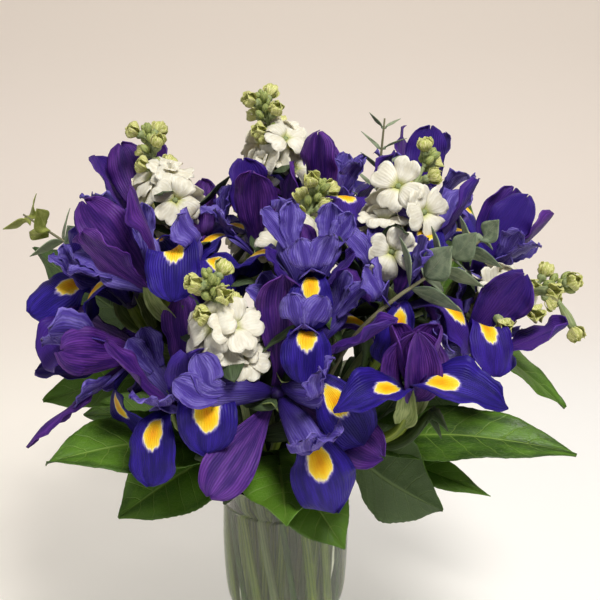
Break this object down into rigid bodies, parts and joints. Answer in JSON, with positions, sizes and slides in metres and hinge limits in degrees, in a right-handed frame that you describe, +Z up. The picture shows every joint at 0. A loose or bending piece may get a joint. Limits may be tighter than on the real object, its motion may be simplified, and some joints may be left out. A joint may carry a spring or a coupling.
{
  "type": "irises in a vase",
  "caption": "Rounded bouquet of violet-blue Dutch irises with white stock, salal leaves and eucalyptus, standing in a plain glass vase of water.",
  "frame": {"origin": "middle of the vase's underside", "axes": "+Z up along the vase's axis, the bouquet's front towards -Y, +X to the right as seen from the front"},
  "size_m": [0.3574, 0.3271, 0.385],
  "materials": {
    "glass": "clear, faintly green",
    "water": "water, slightly clouded",
    "iris_stem": "smooth green stem",
    "iris_petal": "velvety violet-blue petal",
    "stock": "matt white petals and pale green buds",
    "salal": "leathery green leaf",
    "eucalyptus": "waxy grey-green leaf"
  },
  "bodies": {
    "root": {"vase": "glass", "water": "water", "eucalyptus_1": "eucalyptus", "eucalyptus_2": "eucalyptus", "eucalyptus_3": "eucalyptus", "iris_bloom_01": "iris_petal", "iris_bloom_02": "iris_petal", "iris_bloom_03": "iris_petal", "iris_bloom_04": "iris_petal", "iris_bloom_05": "iris_petal", "iris_bloom_06": "iris_petal", "iris_bloom_07": "iris_petal", "iris_bloom_08": "iris_petal", "iris_bloom_09": "iris_petal", "iris_bloom_10": "iris_petal", "iris_bloom_11": "iris_petal", "iris_bloom_12": "iris_petal", "iris_bloom_13": "iris_petal", "iris_bloom_14": "iris_petal", "iris_bloom_15": "iris_petal", "iris_bloom_16": "iris_petal", "iris_bloom_17": "iris_petal", "iris_bloom_18": "iris_petal", "iris_bloom_19": "iris_petal", "iris_bloom_20": "iris_petal", "iris_stem_01": "iris_stem", "iris_stem_02": "iris_stem", "iris_stem_03": "iris_stem", "iris_stem_04": "iris_stem", "iris_stem_05": "iris_stem", "iris_stem_06": "iris_stem", "iris_stem_07": "iris_stem", "iris_stem_08": "iris_stem", "iris_stem_09": "iris_stem", "iris_stem_10": "iris_stem", "iris_stem_11": "iris_stem", "iris_stem_12": "iris_stem", "iris_stem_13": "iris_stem", "iris_stem_14": "iris_stem", "iris_stem_15": "iris_stem", "iris_stem_16": "iris_stem", "iris_stem_17": "iris_stem", "iris_stem_18": "iris_stem", "iris_stem_19": "iris_stem", "iris_stem_20": "iris_stem", "salal_1": "salal", "salal_2": "salal", "salal_3": "salal", "salal_4": "salal", "salal_5": "salal", "salal_6": "salal", "salal_7": "salal", "stock_1": "stock", "stock_2": "stock", "stock_3": "stock", "stock_4": "stock", "stock_5": "stock", "stock_6": "stock", "stock_7": "stock"}
  },
  "joints": []
}
